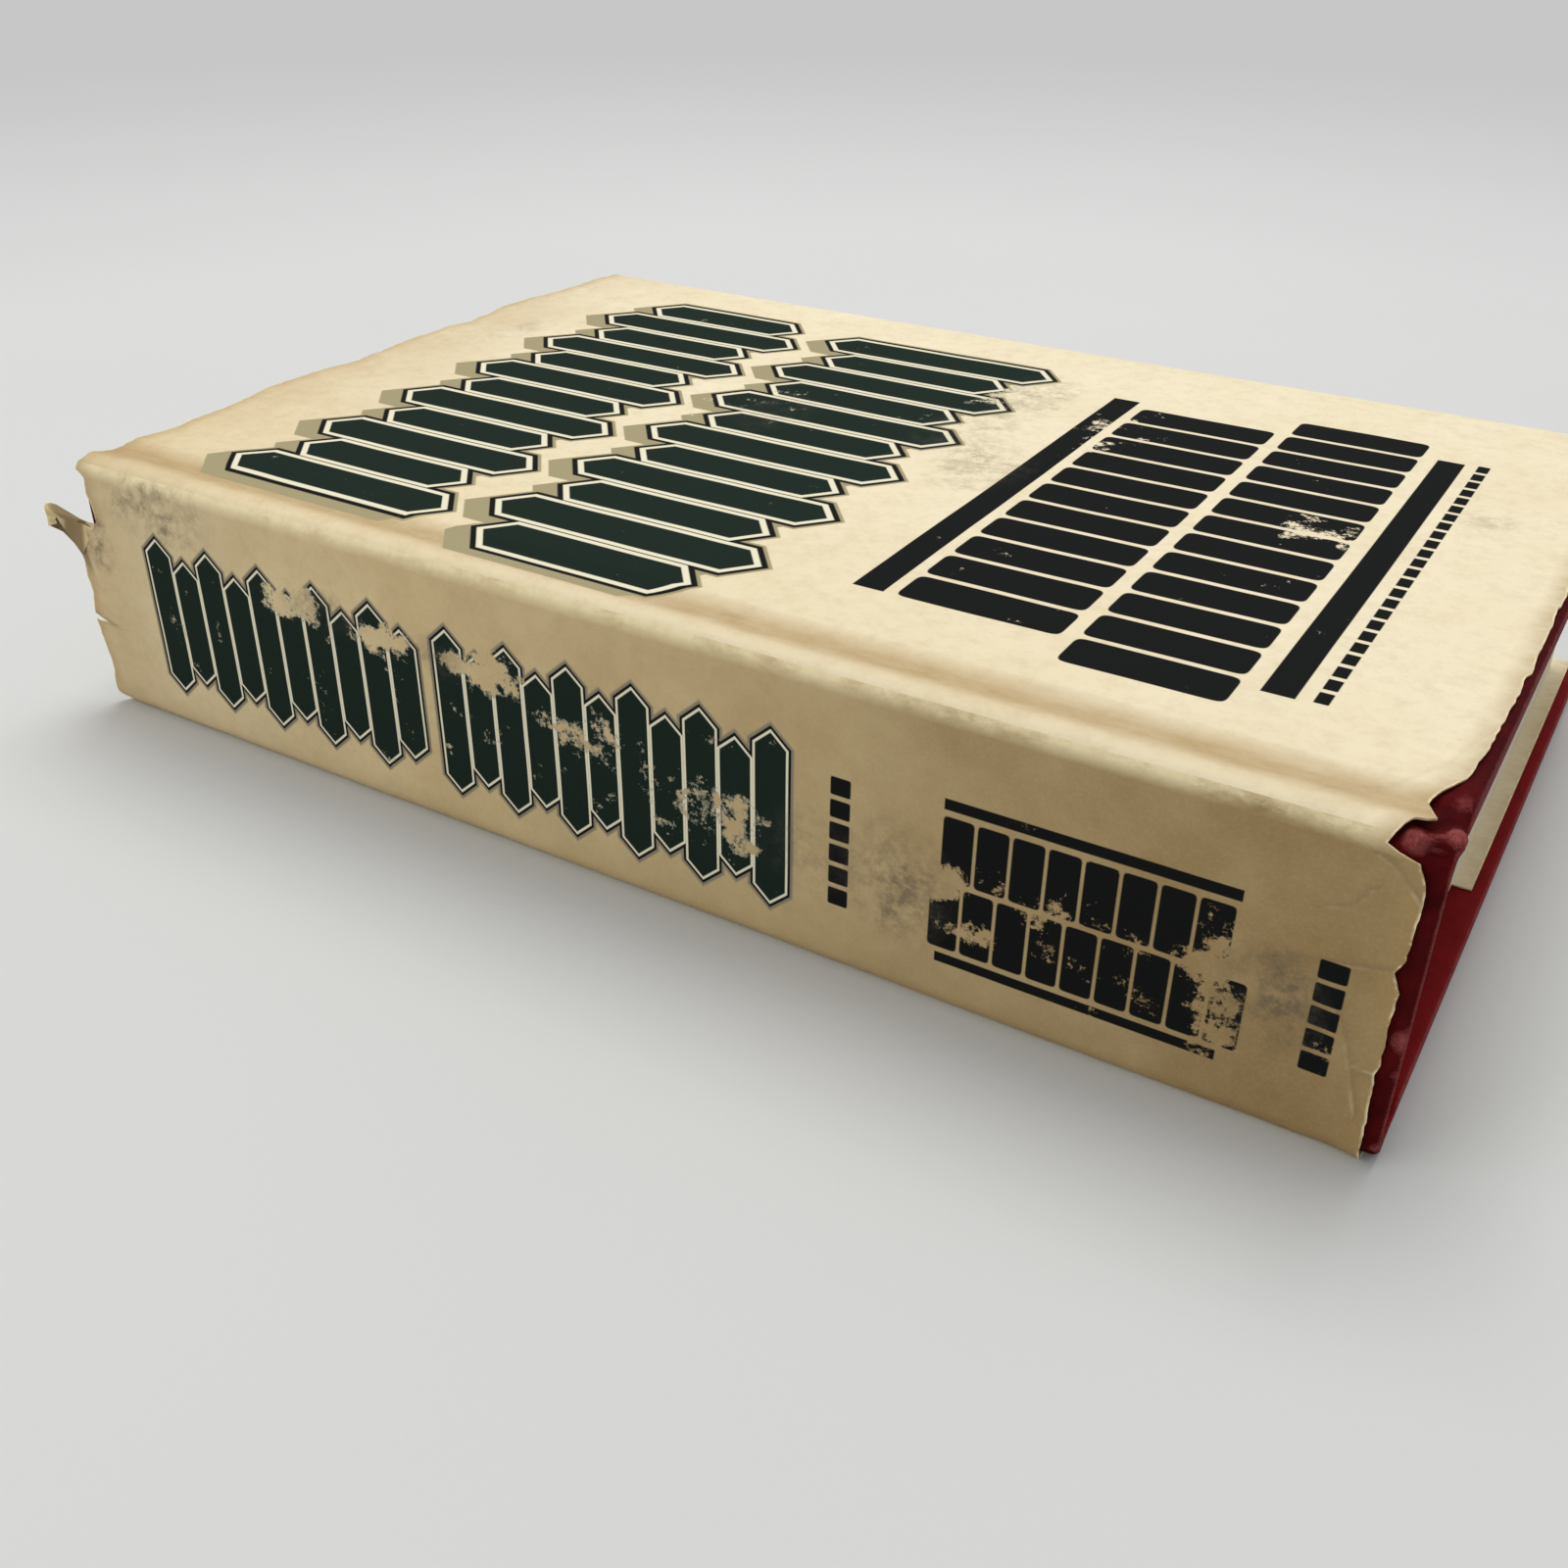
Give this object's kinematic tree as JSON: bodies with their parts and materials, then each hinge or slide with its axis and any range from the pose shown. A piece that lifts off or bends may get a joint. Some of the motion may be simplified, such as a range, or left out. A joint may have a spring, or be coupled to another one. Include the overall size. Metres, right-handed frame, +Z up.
{
  "type": "hardback book",
  "caption": "Thick hardback book lying closed in a worn, torn paper jacket. Both covers turn on cloth joints beside its flat spine.",
  "frame": {"origin": "on the underside of the back cover, below the middle of the case", "axes": "+X along the spine from head to tail, +Y from the spine to the fore edge, +Z up out of the front cover"},
  "size_m": [0.2286, 0.146, 0.0454],
  "materials": {
    "page_paper": "uncoated leaves, cream, edges a little greyer",
    "endpaper": "smooth uncoated off-white paper",
    "jacket_paper": "worn cream paper, rubbed, foxed and torn at its edges",
    "case_cloth": "fine woven book cloth, dark red, faded pinkish where rubbed",
    "board": "grey millboard",
    "gauze": "open starched gauze",
    "lining_paper": "brown lining paper"
  },
  "bodies": {
    "back_cover": {"back_board": "board", "back_cloth": "case_cloth", "back_joint_cloth": "case_cloth", "back_gauze_flange": "gauze", "back_pastedown": "endpaper", "jacket_back": "jacket_paper", "jacket_back_joint": "jacket_paper"},
    "book_block": {"text_block": "page_paper", "back_endpaper": "endpaper", "front_endpaper": "endpaper", "spine_gauze": "gauze", "spine_lining": "lining_paper", "spine_inlay": "board", "spine_cloth": "case_cloth", "jacket_spine": "jacket_paper"},
    "front_cover": {"front_board": "board", "front_cloth": "case_cloth", "front_joint_cloth": "case_cloth", "front_gauze_flange": "gauze", "front_pastedown": "endpaper", "jacket_front": "jacket_paper", "jacket_front_joint": "jacket_paper"}
  },
  "joints": [
    {"name": "back_hinge", "type": "hinge", "parent": "back_cover", "child": "book_block", "pos_m": [0, -0.0685, 0.00475], "axis": [-1, 0, 0], "range_deg": [-90, 0], "deforming": ["back_joint_cloth", "jacket_back_joint"]},
    {"name": "front_hinge", "type": "hinge", "parent": "book_block", "child": "front_cover", "pos_m": [0, -0.0685, 0.04065], "axis": [1, 0, 0], "range_deg": [0, 180], "deforming": ["front_joint_cloth", "jacket_front_joint"]}
  ]
}
